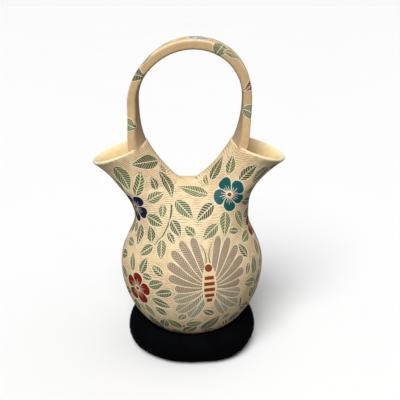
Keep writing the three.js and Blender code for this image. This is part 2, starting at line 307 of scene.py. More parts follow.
def walk(skin, place, offsets):
    """The spots that lie so far to the right of a place and above it, measured along the skin."""
    spots = np.tile(np.array(place, float), (len(offsets), 1))
    step = offsets / walk_steps
    for _ in range(walk_steps):
        here = skin(spots)
        around = (skin(spots + (probe, 0)) - here) / probe
        upward = (skin(spots + (0, probe)) - here) / probe
        height = np.maximum(lengths(upward), 0.5)
        lean = np.sum(around * upward, axis=1) / height
        across = np.sqrt(np.maximum(np.sum(around ** 2, axis=1) - lean ** 2, 1.0))
        turned = step[:, 0] / across
        spots[:, 0] += turned
        spots[:, 1] = np.clip(spots[:, 1], *limits[skin])
        spots[:, 1] += (step[:, 1] - turned * lean) / height
    return spots


def spread_out(outline, heading):
    """An outline given along and across its heading, as distances to the right and up."""
    turn = math.radians(heading)
    ahead, left = np.array((math.cos(turn), math.sin(turn))), np.array((-math.sin(turn), math.cos(turn)))
    return outline[:, :1] * ahead + outline[:, 1:] * left


def outset(outline, distance):
    run = np.roll(outline, -1, axis=0) - np.roll(outline, 1, axis=0)
    run /= np.maximum(lengths(run), 1e-9)[:, None]
    return outline + np.column_stack([run[:, 1], -run[:, 0]]) * distance


def quadratic(spots):
    a, b = spots[:, 0], spots[:, 1]
    return np.column_stack([np.ones(len(a)), a, b, a * a, a * b, b * b])


def covering(outline):
    """Points spread over a shape: its corners, the middles of its sides, and a ring within."""
    return np.vstack([outline, (outline + np.roll(outline, 1, axis=0)) / 2, outline * (1, 0.4)])


def lay(skin, place, heading, outline, colour, strokes=no_strokes, cut=cut_width):
    """Paints an outline at a place, and cuts its edge where a cut is given."""
    low, high = outline.min(axis=0), outline.max(axis=0)
    net = np.array([(u, v) for u in np.linspace(low[0], high[0], 5) for v in np.linspace(low[1], high[1], 3)])
    lie = walk(skin, place, spread_out(net, heading)) - place
    fit = np.linalg.lstsq(quadratic(lie), net, rcond=None)[0]
    rings = [(outline, colour, strokes, False)]
    if cut:
        edge = [(outset(outline, cut), False), (outset(outline, cut / 2), True)]
        rings = [(ring, cream_cut, no_strokes, groove) for ring, groove in edge] + rings
    for ring, tint, marks, groove in rings:
        spots = walk(skin, place, spread_out(ring, heading))
        shapes[skin].append((spots, tint, marks, groove, np.array(place, float), fit))
    points = skin(walk(skin, place, spread_out(covering(outline), heading)))
    taken[skin] = np.vstack([taken[skin], points])


def off_limits(spots):
    """Whether spots on the pot lie too far under it, on a lip, or between the spouts."""
    in_fork = (np.abs(np.abs(spots[:, 0]) - 1) > fork_reach) & (spots[:, 1] > saddle_row - 1)
    return in_fork.any() or spots[:, 1].min() < lowest_row or spots[:, 1].max() > rim_row - lip_margin


def has_room(place, heading, outline, gap, clear=0.0):
    """Whether an outline fits on the pot with such a gap round it, and more round its middle."""
    away = lengths(taken[pot_skin] - pot_skin(np.array([place])))
    near = taken[pot_skin][away < widest_shape]
    if len(near) and away.min() < max(gap, clear):
        return False
    spots = walk(pot_skin, place, spread_out(covering(outline), heading))
    if off_limits(spots):
        return False
    return not len(near) or lengths(pot_skin(spots)[:, None] - near[None]).min() > gap


def springs_clear(place, heading, outline):
    """Like has_room, for a leaf that springs from between petals: close at its root, clear farther out."""
    tip, root = outline[len(outline) // 2], outline[0]
    for share, clearance in spray_clearances:
        at = walk(pot_skin, place, spread_out(blend(root, tip, share)[None], heading))
        if off_limits(at) or lengths(taken[pot_skin] - pot_skin(at)).min() < clearance:
            return False
    return True


def even_sided(share, half, start, length):
    """A closed outline from its root to its tip, with the same width on both sides."""
    along = start + share * length
    below, above = np.column_stack([along, -half]), np.column_stack([along, half])[::-1]
    return np.vstack([[(start, 0)], below, [(start + length, 0)], above])


def leaf_outline(length, width, start):
    share = np.linspace(0, 1, 11)[1:-1]
    half = width / 2 * np.sin(np.pi * share ** leaf_belly) ** leaf_sharpness
    return even_sided(share, half, start, length)


def lobe_outline(length, width, start, fullness):
    """A lobe that widens from its root and ends round: a petal, or a feather of a wing."""
    tip = blend(fullness, 1, np.sin(np.linspace(0, quarter_turn, 5)[1:-1]))
    share = np.concatenate([np.linspace(0, fullness, 6)[1:], tip])
    swell = np.sin(np.clip(share / fullness, 0, 1) * quarter_turn) ** lobe_swell
    round_off = np.sqrt(np.maximum(1 - (np.clip(share - fullness, 0, 1) / (1 - fullness)) ** 2, 0))
    return even_sided(share, width / 2 * swell * round_off, start, length)


def oval_outline(length, width, corners, start):
    angle = np.arange(corners) / corners * 2 * math.pi
    return np.column_stack([start + length / 2 * (1 + np.cos(angle)), width / 2 * np.sin(angle)])


def ribbon_outline(bow, length, width):
    """A thin stroke that bows to its left by so much in the middle."""
    share = np.linspace(0, 1, 9)
    middle = bow * 4 * share * (1 - share)
    half = width / 2 * (1 - ribbon_taper * share)
    below = np.column_stack([share * length, middle - half])
    above = np.column_stack([share * length, middle + half])[::-1]
    return np.vstack([below, above])


petals, petal_length, petal_width, petal_root, petal_fullness = 5, 0.88, 0.76, 0.12, 0.66
stamens, stamen_width = ((-17, 0.52), (0, 0.62), (17, 0.52)), 0.75
eye_size, eye_cut = 0.26, 0.5


def blossom(skin, place, heading, size, colour):
    """Five petals with pale stamens, round a small eye. All but the angles are shares of its size."""
    turns = [heading + petal * 360 / petals for petal in range(petals)]
    petal = lobe_outline(size * petal_length, size * petal_width, size * petal_root, petal_fullness)
    for turn in turns:
        lay(skin, place, turn, petal, colour)
    for turn in turns:
        for spread, reach in stamens:
            lay(skin, place, turn + spread, ribbon_outline(0, size * reach, stamen_width), cream_cut, cut=0)
    eye = oval_outline(size * eye_size, size * eye_size, 12, -size * eye_size / 2)
    lay(skin, place, 0, eye, body_rust, cut=eye_cut)


# Each lobe of a wing: degrees away from straight up, length and width.
short_lobes = ((151, 33, 11), (131, 36, 12), (112, 31, 11))
long_lobes = ((92, 27, 7.5), (77, 34, 7.8), (62, 40, 8), (47, 44, 8), (32, 46, 8), (17, 44, 7.5))
wings = (
    (short_lobes, 0.7, wing_grey, herringbone_strokes), (long_lobes, 0.86, wing_mauve, feather_strokes),
)
wing_root, feeler_turn, feeler_start, feeler_cut, head_cut = 4, 9, 19, 0.5, 0.6
body_bars, bar_height = ((-14.5, 5.0), (-9.5, 8.6), (-4, 9.8), (1.5, 9.6), (7, 8.4)), 3.2


def butterfly(skin, place):
    """Two fans of long mauve lobes, two of short grey ones, and a barred body between them."""
    for side in (-1, 1):
        for lobes, fullness, colour, strokes in wings:
            for turn, length, width in lobes:
                lobe = lobe_outline(length, width, wing_root, fullness)
                lay(skin, place, 90 - side * turn, lobe, colour, strokes)
    for side in (-1, 1):
        feeler = ribbon_outline(side * 3, 21, 1.1) + (feeler_start, 0)
        lay(skin, place, 90 - side * feeler_turn, feeler, dark_line, cut=feeler_cut)
    lay(skin, place, 90, oval_outline(42, 11.5, 20, -20), body_cream)
    for bar, width in body_bars:
        low, high, half = bar, bar + bar_height, width / 2
        band = np.array([(low, -half), (high, -half), (high, half), (low, half)])
        lay(skin, place, 90, band, body_rust, cut=0)
    lay(skin, place, 90, oval_outline(7, 7.4, 12, 14), body_rust, cut=head_cut)


# Where leaves may start on the pot: quarter turns from the middle of the front, and rows up.
pot_areas = (((-1, 1), (3.8, 14)), ((-1, 1), (12, 26)), ((-1, 1), (24, 33)), ((1, 3), (4, 33)))
stem_width, stem_gap, stem_cut = 1.8, 1.4, 0.55
leaf_spacing, leaf_lean, leaf_start, sprig_leaf_gap = 8.5, 48, 0.8, 1.0
single_leaf_sizes = ((28, 12), (24, 10.5), (19, 9), (15, 7.5), (12, 6))
single_leaf_gap, middle_clearance = 0.75, 0.45


def spot_and_heading():
    (low_a, high_a), (low_b, high_b) = pot_areas[chance.randrange(len(pot_areas))]
    spot = np.array((chance.uniform(low_a, high_a), chance.uniform(low_b, high_b)))
    return spot, chance.uniform(0, 360)


def paint_leaf(skin, place, heading, outline):
    lay(skin, place, heading, outline, chance.choice(leaf_greens), leaf_strokes)


def scatter_sprigs(tries):
    """Bowed stems with leaves on both sides and one at the end, wherever most of a sprig has room."""
    for _ in range(tries):
        place, heading = spot_and_heading()
        length, bow, side = chance.uniform(24, 42), chance.uniform(-5, 5), chance.choice((-1, 1))
        stem = ribbon_outline(bow, length, stem_width)
        if not has_room(place, heading, stem, stem_gap):
            continue
        count, leaves = round(length / leaf_spacing), []
        for index in range(count + 1):
            share = (index + 0.5) / (count + 0.5)
            lean = math.degrees(math.atan2(bow * 4 * (1 - 2 * share), length))
            turn = heading + lean + (side * leaf_lean if index < count else 0)
            side = -side
            root = np.array([(share * length, bow * 4 * share * (1 - share))])
            root = walk(pot_skin, place, spread_out(root, heading))[0]
            outline = leaf_outline(chance.uniform(17, 23), chance.uniform(8.5, 10.5), leaf_start)
            if has_room(root, turn, outline[1:], sprig_leaf_gap):
                leaves.append((root, turn, outline))
        if len(leaves) > (count + 1) / 2:
            lay(pot_skin, place, heading, stem, stem_green, cut=stem_cut)
            for root, turn, outline in leaves:
                paint_leaf(pot_skin, root, turn, outline)


def scatter_leaves(tries):
    """Single leaves in the room that is left, each at a heading of its own, the larger ones first."""
    for length, width in single_leaf_sizes:
        for _ in range(tries):
            place, heading = spot_and_heading()
            own_length, own_width = length * chance.uniform(0.9, 1.15), width * chance.uniform(0.88, 1.12)
            outline = leaf_outline(own_length, own_width, -length / 2)
            if has_room(place, heading, outline, single_leaf_gap, width * middle_clearance):
                paint_leaf(pot_skin, place, heading, outline)


pot_blossoms = (
    ((-0.5, 9.4), 14, 16.0, petal_red), ((-0.68, 20.4), 40, 14.5, petal_navy),
    ((0.44, 24.6), 65, 14.5, petal_turquoise), ((0.95, 15.0), 5, 14.0, petal_red),
    ((1.62, 10.4), 30, 16.5, petal_turquoise), ((-1.5, 11.6), 50, 16.5, petal_red),
    ((-1.5, 22.5), 20, 13.5, petal_navy), ((1.45, 22.5), 70, 13.5, petal_red),
    ((2.0, 16.2), 10, 15.0, petal_navy),
)
sprays, spray_turn, spray_starts = 8, 14, (0.99, 1.06)
chance = random.Random(7)
butterfly(pot_skin, (0.17, 10.4))
for place, heading, size, colour in pot_blossoms:
    blossom(pot_skin, place, heading, size, colour)
    for spray in range(sprays):
        turn = heading + spray_turn + spray * 360 / sprays + chance.uniform(-5, 5)
        length, width = chance.uniform(18, 24), chance.uniform(8.5, 10)
        outline = leaf_outline(length, width, size * spray_starts[spray % 2])
        if springs_clear(place, turn, outline):
            paint_leaf(pot_skin, place, turn, outline)
scatter_sprigs(1200)
scatter_leaves(1300)

# On the strap: mm from its top, turns round it, heading and size, and for the leaves length and width.
strap_blossoms = (
    (4, 0.0, 20, 9.5, petal_pale_blue), (92, -0.04, 60, 9.0, petal_red),
    (-84, 0.03, 10, 9.0, petal_turquoise),
)
strap_leaves = (
    (-112, 0.0, 95, 20, 9), (-96, -0.13, 20, 20, 11), (-64, 0.03, 70, 20, 9), (-54, -0.13, 168, 22, 13),
    (-38, -0.1, 72, 19, 7), (-22, 0.02, 95, 20, 9), (24, -0.13, 8, 22, 13), (36, -0.12, 62, 20, 8),
    (20, 0.08, 100, 20, 9), (48, 0.0, 105, 20, 9), (66, -0.13, 158, 18, 8), (76, 0.04, 90, 20, 9),
    (88, -0.13, 12, 22, 12), (104, -0.02, 80, 20, 9), (122, 0.03, 92, 20, 9), (-80, 0.13, 160, 20, 11),
    (-44, 0.13, 20, 20, 11), (30, 0.14, 165, 20, 11), (62, 0.13, 10, 20, 11), (104, 0.14, 160, 20, 11),
)
red_leaf = 66
top_of_strap = strap_length / 2
for away, around, heading, size, colour in strap_blossoms:
    blossom(strap_skin, (around, top_of_strap + away), heading, size, colour)
for away, around, heading, length, width in strap_leaves:
    outline = leaf_outline(length, width, -length / 2)
    colour = petal_red if away == red_leaf else chance.choice(leaf_greens)
    lay(strap_skin, (around, top_of_strap + away), heading, outline, colour, leaf_strokes)


# THE PAINTED CLAY AS ONE SKIN
# The outlines of the slips are worked into the skin itself, so that colour and cut end sharply. The
# skin goes on over the lip and down the inside, and the strap is closed at both ends.

row_pitch, column_pitch = 8.0, 90.0
base_pitch = 2.8
lip_steps, lip_line_start, lip_line_fade = 6, 14, 8
foot_row, edge_steps, fewest_in_row = 2, 3, 6
foot_margin, rim_margin = 0.25, 0.2
weld_gap = 0.004
plain_clay = (0.0, 0.0, 0.0, 0.0)
ground_strokes = (1.7, 0.0, 0.5, 0.0)
smooth_columns, smooth_rows = 8.0, 0.55

points, normals, grooves, faces, paint, hatch, lie = [], [], [], [], [], [], []


def unit(vectors):
    return vectors / np.maximum(lengths(vectors), 1e-9)[:, None]


def add_skin(spots_3d, outward, depth, triangles, colours, strokes, along):
    """Adds points and triangles to the clay, with each corner's colour, strokes and place along them."""
    triangles = np.asarray(triangles) + sum(len(part) for part in points)
    added = (spots_3d, outward, depth, triangles, colours, strokes, along)
    for held, part in zip((points, normals, grooves, faces, paint, hatch, lie), added):
        held.append(part)


def border_of(columns, rows):
    """The points once round a stretch of skin, and the edges that join them."""
    loop = [(a, rows[0]) for a in columns] + [(columns[-1], b) for b in rows[1:]]
    loop += [(a, rows[-1]) for a in columns[-2::-1]] + [(columns[0], b) for b in rows[-2:0:-1]]
    return loop, [(index, (index + 1) % len(loop)) for index in range(len(loop))]


def paint_skin(skin, spots, borders, side, scale, ground, climb):
    """Triangulates a stretch of skin with its painted shapes, all in spots."""
    low, high = spots.min(axis=0), spots.max(axis=0)
    corners, rings, used = [*(spots * scale)], [], []
    for shape in shapes[skin]:
        for shift in (-4, 0, 4) if skin is pot_skin else (0,):
            ring = shape[0] + (shift, 0)
            if (ring.max(axis=0) > low).all() and (ring.min(axis=0) < high).all():
                flat = ring * scale
                area = np.sum(flat[:, 0] * np.roll(flat[:, 1], -1) - flat[:, 1] * np.roll(flat[:, 0], -1))
                order = range(len(flat)) if area > 0 else range(len(flat) - 1, -1, -1)
                rings.append([len(corners) + index for index in order])
                used.append((shape, shift))
                corners.extend(flat)
    cut_points = {index for ring, (shape, _) in zip(rings, used) if shape[3] for index in ring}
    flat = [Vector(corner) for corner in corners]
    found = delaunay_2d_cdt(flat, borders, rings, 0, 1e-4, True)
    where = np.array([tuple(corner) for corner in found[0]]) / scale
    triangles = np.array([tuple(face) for face in found[2]])
    owner = np.array([max(owners) if owners else -1 for owners in found[5]])
    middle = where[triangles].mean(axis=1)
    kept = ((middle > low) & (middle < high)).all(axis=1)
    triangles, owner = triangles[kept], owner[kept]
    scratched = np.array([bool(cut_points.intersection(origin)) for origin in found[3]])
    is_cut = np.array([shape[1] is cream_cut for shape, _ in used] + [False])
    whole = np.ones(len(where), bool)
    np.logical_and.at(whole, triangles.ravel(), np.repeat(is_cut[owner], 3))
    depth = (scratched & whole).astype(float)
    where = np.clip(where, low, high)
    sides = None if side is None else np.full(len(where), float(side))
    here = skin(where, sides)
    inner = np.clip(where, low + probe, high - probe)
    around = skin(inner + (probe, 0), sides) - skin(inner - (probe, 0), sides)
    upward = skin(inner + (0, probe), sides) - skin(inner - (0, probe), sides)
    outward = unit(np.cross(around, upward))
    colours, strokes = (np.repeat(part[:, None], 3, axis=1) for part in ground(where[triangles].mean(axis=1)))
    along = np.stack([climb(where[triangles][:, :, 1]), np.zeros((len(triangles), 3))], axis=2)
    for index, ((_, colour, marks, _, place, fit), shift) in enumerate(used):
        mine = owner == index
        if mine.any():
            colours[mine] = (*colour, 1.0)
            strokes[mine] = marks
            spots_here = where[triangles[mine]].reshape(-1, 2) - (shift, 0) - place
            along[mine] = (quadratic(spots_here) @ fit).reshape(-1, 3, 2)
    used_points = np.unique(triangles)
    renumbered = np.full(len(where), -1)
    renumbered[used_points] = np.arange(len(used_points))
    here = here - outward * (depth * deep_cut)[:, None]
    kept_parts = (part[used_points] for part in (here, outward, depth))
    add_skin(*kept_parts, renumbered[triangles], colours, strokes, along)


meridian = pot_skin(np.column_stack([np.full(rim_row + 1, 0.5), np.arange(rim_row + 1)]))
climb_marks = np.concatenate([[0], np.cumsum(lengths(np.diff(meridian, axis=0)))])


def pot_climb(row):
    return np.interp(row, np.arange(rim_row + 1), climb_marks)


def quarter_spots(first):
    """Spots all over a quarter of the pot, with its borders first, and the edges that join them."""
    edge_rows = np.linspace(foot_row, rim_row, (rim_row - foot_row) * edge_steps + 1)
    loop, borders = border_of(np.linspace(0, 1, quarter_columns + 1), edge_rows)
    inside = []
    row, odd = foot_row + foot_margin, 0.0
    while row < rim_row - rim_margin:
        level = pot_skin(np.array([(turn, row) for turn in np.linspace(0, 1, 17)]))
        width = lengths(np.diff(level, axis=0)).sum()
        count = max(int(width / base_pitch), fewest_in_row)
        inside += [((column + 0.5 + odd) / (count + 1), row) for column in range(count)]
        lift = pot_climb(row)
        row = float(np.interp(lift + base_pitch, climb_marks, np.arange(rim_row + 1)))
        odd = 0.5 - odd
    spots = np.array(loop + inside, float)
    spots[:, 0] += first
    return spots, borders


def pot_ground(spots):
    """Bare scratched clay, left smooth in the very middle of the saddle, where the scratches would meet."""
    middle = np.minimum(np.abs(spots[:, 0]), 2 - np.abs(spots[:, 0])) * smooth_columns
    smooth = np.hypot(middle, (spots[:, 1] - saddle_row) * smooth_rows) < 1
    marks = np.where(smooth[:, None], no_strokes, ground_strokes)
    return np.tile(plain_clay, (len(spots), 1)), marks


for first, side in ((-2, -1), (-1, -1), (0, 1), (1, 1)):
    spots, borders = quarter_spots(first)
    paint_skin(pot_skin, spots, borders, side, np.array((column_pitch, row_pitch)), pot_ground, pot_climb)


def grid_faces(rows, columns, turned):
    index = np.arange(rows * columns).reshape(rows, columns)
    low, right = index[:-1, :-1].ravel(), index[:-1, 1:].ravel()
    left, high = index[1:, :-1].ravel(), index[1:, 1:].ravel()
    corners = [(low, high, right), (low, left, high)] if turned else [(low, right, high), (low, high, left)]
    return np.vstack([np.column_stack(corner) for corner in corners])


def add_grid(grid, colours, turned):
    """Adds a plain grid of clay, with a colour at each of its points."""
    rows, columns = grid.shape[:2]
    run, rise = np.gradient(grid, axis=1), np.gradient(grid, axis=0)
    outward = unit(np.cross(run, rise).reshape(-1, 3)) * (-1 if turned else 1)
    triangles = grid_faces(rows, columns, turned)
    tint = colours.reshape(-1, 4)[triangles]
    none = np.zeros((len(triangles), 3, 2))
    strokes = np.tile(no_strokes, (len(triangles), 3, 1))
    add_skin(grid.reshape(-1, 3), outward, np.zeros(rows * columns), triangles, tint, strokes, none)


def quarter_skin_normals(grid):
    run = np.gradient(grid, axis=1)
    rise = np.gradient(grid, axis=0)
    run[:, -1, 0], run[:, -1, 2] = 0, 0
    run[:saddle_row * fineness, 0, 1:] = 0
    run[saddle_row * fineness + 1:, 0, 0], run[saddle_row * fineness + 1:, 0, 2] = 0, 0
    outward = np.cross(run, rise)
    outward[0] = (0, 0, -1)
    outward[saddle_row * fineness, 0] = (0, 0, 1)
    return outward / lengths(outward)[:, :, None]


outward = quarter_skin_normals(pot_quarter)
thinness = ease(np.clip(1 - (rim_row - np.arange(len(pot_quarter)) / fineness) / thinning_rows, 0, 1))
inside = (pot_quarter - outward * blend(wall, lip_wall, thinness)[:, None, None])[::fineness]
outer_rim, inner_rim = pot_quarter[-1], inside[-1]
middle = (outer_rim + inner_rim) / 2
across = outer_rim - middle
ahead = outer_rim - pot_quarter[-1 - fineness]
ahead = unit(ahead - across * (np.sum(ahead * across, axis=1) / np.sum(across ** 2, axis=1))[:, None])
lip = [middle + across * math.cos(angle) + ahead * math.sin(angle) * lip_wall / 2
       for angle in np.linspace(0, math.pi, lip_steps + 1)]
within = np.vstack([np.array(lip), inside[-2::-1]])
clay_colours = np.ones((len(within), quarter_columns + 1, 4))
clay_colours[:lip_steps + 1, :, :3] = edge_highlight_cream
clay_colours[lip_steps + 1:, :, :3] = inside_cream
# The pale line painted round a lip as its highlight ends where the strap covers its heel.
past_strap = np.clip((np.arange(quarter_columns + 1) - lip_line_start) / lip_line_fade, 0, 1)
clay_colours[:lip_steps + 1, :, 3] = ease(past_strap)
foot = pot_quarter[:foot_row * fineness + 1:2]
foot_colours = np.zeros((len(foot), quarter_columns + 1, 4))
for mirror_x, mirror_y in ((1, 1), (-1, 1), (1, -1), (-1, -1)):
    turned = mirror_x * mirror_y < 0
    mirror = np.array((mirror_x, mirror_y, 1))
    for grid, colours in ((within, clay_colours), (foot, foot_colours)):
        add_grid(hand_built((grid * mirror).reshape(-1, 3)).reshape(grid.shape), colours, turned)

corner_column, edge_line, face_steps = 0.125, 0.011, 12
share = np.linspace(-1, 1, face_steps + 1)[:-1]
share = (1 + np.sign(share) * np.abs(share) ** 0.5) / 2
strap_columns = np.concatenate([corner_column * (corner + 2 * share) for corner in (-3, -1, 1, 3)])
strap_columns = np.sort((strap_columns + 0.5) % 1 - 0.5)
strap_columns = np.concatenate([[-0.5], strap_columns[strap_columns > -0.4999], [0.5]])
strap_rows = np.linspace(0, strap_length, int(strap_length / base_pitch) + 1)
strap_loop, strap_borders = border_of(strap_columns, strap_rows)
strap_inside = [(a, b) for b in strap_rows[1:-1] for a in strap_columns[1:-1]]
strap_scale = np.array((76.0, 1.0))


def strap_ground(spots):
    """The outer face is scratched as the pot is. The edges are plain, with painted shade on the sides, darker
    painted shade on the inner face, and a pale painted highlight along each corner.
    """
    away = np.abs(spots[:, 0])
    outer, corner = away < corner_column - edge_line, np.abs(away - corner_column) <= edge_line
    # Painted shade: the inner face darker, the sides a buff darkened for the shade that falls on them.
    colours = np.where(away[:, None] > 3 * corner_column, (*strap_inner_painted_shade, 1.0), (*strap_side_buff_and_shade, 1.0))
    # A pale line along each corner, a painted highlight on the edge.
    colours[corner] = (*edge_highlight_cream, 1.0)
    colours[outer] = plain_clay
    return colours, np.where(outer[:, None], ground_strokes, no_strokes)


strap_spots = np.array(strap_loop + strap_inside)
paint_skin(strap_skin, strap_spots, strap_borders, None, strap_scale, strap_ground, lambda along: along)
for along, facing in ((0.0, -1), (strap_length, 1)):
    ring = strap_skin(np.array([(around, along) for around in strap_columns]))
    centre = ring[:-1].mean(axis=0)
    fan = np.array([(index, index + 1, len(ring)) for index in range(len(ring) - 1)])[:, ::facing]
    tint, marks = (np.tile(part, (len(fan), 3, 1)) for part in (plain_clay, no_strokes))
    outward = np.tile((np.sign(centre[0]), 0.0, 0.0), (len(ring) + 1, 1))
    grooved, lie_flat = np.zeros(len(ring) + 1), np.zeros((len(fan), 3, 2))
    add_skin(np.vstack([ring, centre]), outward, grooved, fan, tint, marks, lie_flat)

mesh = bpy.data.meshes.new("vase_clay")
mesh.from_pydata((np.vstack(points) * metres).tolist(), [], np.vstack(faces).tolist())
for name, kind, domain, key, parts in (
    ("paint", "FLOAT_COLOR", "CORNER", "color", paint), ("hatch", "FLOAT_COLOR", "CORNER", "color", hatch),
    ("outward", "FLOAT_VECTOR", "POINT", "vector", normals), ("groove", "FLOAT", "POINT", "value", grooves),
):
    layer = mesh.attributes.new(name, kind, domain)
    layer.data.foreach_set(key, np.concatenate(parts).astype(np.float32).ravel())
strokes_map = mesh.uv_layers.new(name="strokes")
strokes_map.data.foreach_set("uv", np.concatenate(lie).astype(np.float32).ravel())
work = bmesh.new()
work.from_mesh(mesh)
bmesh.ops.remove_doubles(work, verts=work.verts, dist=weld_gap * metres)
bmesh.ops.dissolve_degenerate(work, dist=1e-7, edges=work.edges)
bmesh.ops.triangulate(work, faces=[face for face in work.faces if len(face.verts) > 3])
work.to_mesh(mesh)
work.free()
mesh.polygons.foreach_set("use_smooth", [True] * len(mesh.polygons))
kept_normals = np.zeros(len(mesh.vertices) * 3, np.float32)
mesh.attributes["outward"].data.foreach_get("vector", kept_normals)
mesh.normals_split_custom_set_from_vertices(unit(kept_normals.reshape(-1, 3)).tolist())
mesh.attributes.remove(mesh.attributes["outward"])


def shown(name, data):
    """An object of the scene, made of a mesh, a light or a camera."""
    made = bpy.data.objects.new(name, data)
    bpy.context.scene.collection.objects.link(made)
    return made


clay_vase = shown("clay_vase", mesh)


def add(tree, kind, values=(), **settings):
    """A node with its inputs set by name or number: a socket is linked, and anything else is a value."""
    made = tree.nodes.new(kind)
    for setting, value in settings.items():
        setattr(made, setting, value)
    for socket, value in dict(values).items():
        if isinstance(value, bpy.types.NodeSocket):
            tree.links.new(value, made.inputs[socket])
        else:
            made.inputs[socket].default_value = value
    return made


def tree_of(*values):
    """The node tree that the values belong to, of which at least one is a socket."""
    return next(value.id_data for value in values if isinstance(value, bpy.types.NodeSocket))


def maths(operation, first, second=0.0):
    values = {0: first, 1: second}
    return add(tree_of(first, second), "ShaderNodeMath", values, operation=operation).outputs[0]


def plus(total, *others):
    for other in others:
        total = maths("ADD", total, other)
    return total


def minus(first, second):
    return maths("SUBTRACT", first, second)


def times(first, second):
    return maths("MULTIPLY", first, second)


def between(value, low, high, start=0.0, end=1.0):
    values = {"Value": value, "From Min": low, "From Max": high, "To Min": start, "To Max": end}
    return add(value.id_data, "ShaderNodeMapRange", values, interpolation_type="SMOOTHSTEP").outputs["Result"]


def noise(place, scale, detail, roughness=0.5):
    values = {"Vector": place, "Scale": scale, "Detail": detail, "Roughness": roughness}
    return add(place.id_data, "ShaderNodeTexNoise", values).outputs["Fac"]


mix_first, mix_second, mix_result = 6, 7, 2


def mixed(share, first, second, how="MIX"):
    tree = tree_of(share, first, second)
    first, second = ((*value, 1.0) if isinstance(value, tuple) else value for value in (first, second))
    values = {0: share, mix_first: first, mix_second: second}
    return add(tree, "ShaderNodeMix", values, data_type="RGBA", blend_type=how).outputs[mix_result]


def new_group(name, kind, sockets_in, sockets_out):
    """An empty node group. Each named socket is given with its kind, or with the number it starts at."""
    group = bpy.data.node_groups.new(name, kind)
    for in_out, sockets in (("INPUT", sockets_in), ("OUTPUT", sockets_out)):
        for label, value in sockets.items():
            held = value if isinstance(value, str) else "Int" if isinstance(value, int) else "Float"
            socket = group.interface.new_socket(name=label, in_out=in_out, socket_type="NodeSocket" + held)
            if not isinstance(value, str):
                socket.default_value = value
    return group, group.nodes.new("NodeGroupInput").outputs, group.nodes.new("NodeGroupOutput").inputs


# Cloudy patches and fine grain, which the clay, the velvet and the table all have at their own scale.
cloudiness, given, result = new_group(
    "cloudiness", "ShaderNodeTree", {"Place": "Vector", "Patch Scale": 20.0, "Grain Scale": 900.0},
    {"Patches": "Float", "Grain": "Float"},
)
for scale, label, detail in (("Patch Scale", "Patches", 4.0), ("Grain Scale", "Grain", 3.0)):
    cloud = noise(given["Place"], given[scale], detail, 0.6)
    cloudiness.links.new(cloud, result[label])


def new_material(name, patch_scale, grain_scale):
    """A material with its node tree, its surface, the place on the piece, and its patches and grain."""
    material = bpy.data.materials.new(name)
    material.use_nodes = True
    tree = material.node_tree
    place = add(tree, "ShaderNodeTexCoord").outputs["Object"]
    values = {"Place": place, "Patch Scale": patch_scale, "Grain Scale": grain_scale}
    clouds = add(tree, "ShaderNodeGroup", values, node_tree=cloudiness)
    return material, tree, tree.nodes["Principled BSDF"], place, *clouds.outputs


def finish_surface(tree, surface, colour, height, depth, strength, values):
    """Gives the surface its colour and its fine relief, and sets its other values."""
    relief = add(tree, "ShaderNodeBump", {"Height": height, "Distance": depth, "Strength": strength})
    tree.links.new(relief.outputs["Normal"], surface.inputs["Normal"])
    tree.links.new(colour, surface.inputs["Base Color"])
    for name, value in values.items():
        surface.inputs[name].default_value = value


pale_ground, buff_ground, grain_brown = srgb(250, 228, 182), srgb(238, 212, 168), srgb(196, 158, 118)
scratch_brown, scratch_cream = srgb(160, 116, 78), srgb(240, 224, 184)
stroke_softness, hand_sway, hand_shake = 0.12, 14.0, (1.5, 0.8)

slip_painted_clay, tree, surface, place, patches, grain = new_material("slip_painted_clay", 26.0, 1500.0)
slip, marks, groove = (
    add(tree, "ShaderNodeAttribute", attribute_name=name).outputs for name in ("paint", "hatch", "groove"))
painted, rib = slip["Alpha"], marks["Alpha"]
pitch, slant, width = add(tree, "ShaderNodeSeparateColor", {"Color": marks["Color"]}).outputs
strokes_place = add(tree, "ShaderNodeUVMap", uv_map="strokes").outputs["UV"]
reach, away, _ = add(tree, "ShaderNodeSeparateXYZ", {"Vector": strokes_place}).outputs
away = maths("ABSOLUTE", away)

# On bare clay the scratches wander with the hand. In a painted shape they keep to its own veins.
wander, tremble = noise(place, 30.0, 1.0, 0.4), noise(place, 420.0, 1.0)
sway = times(minus(wander, 0.5), between(painted, 0.0, 1.0, hand_sway, 0.0))
shake = times(minus(tremble, 0.5), between(painted, 0.0, 1.0, *hand_shake))
course = minus(plus(reach, sway, shake), times(away, slant))
band = times(maths("FRACT", maths("DIVIDE", course, pitch)), pitch)
off_middle = maths("ABSOLUTE", minus(band, times(pitch, 0.5)))
stroke_edge = minus(times(width, 0.5), off_middle)
stroke = between(stroke_edge, -stroke_softness, stroke_softness)
spine = between(minus(rib, away), -stroke_softness, stroke_softness)
spine = times(spine, between(rib, 0.05, 0.2))
pressure = between(noise(place, 130.0, 3.0), 0.36, 0.6, 0.25, 1.0)
pressure = maths("MAXIMUM", pressure, times(painted, 0.8))
stroke = times(stroke, times(between(width, 0.05, 0.2), pressure))
scratch = maths("MAXIMUM", stroke, spine)

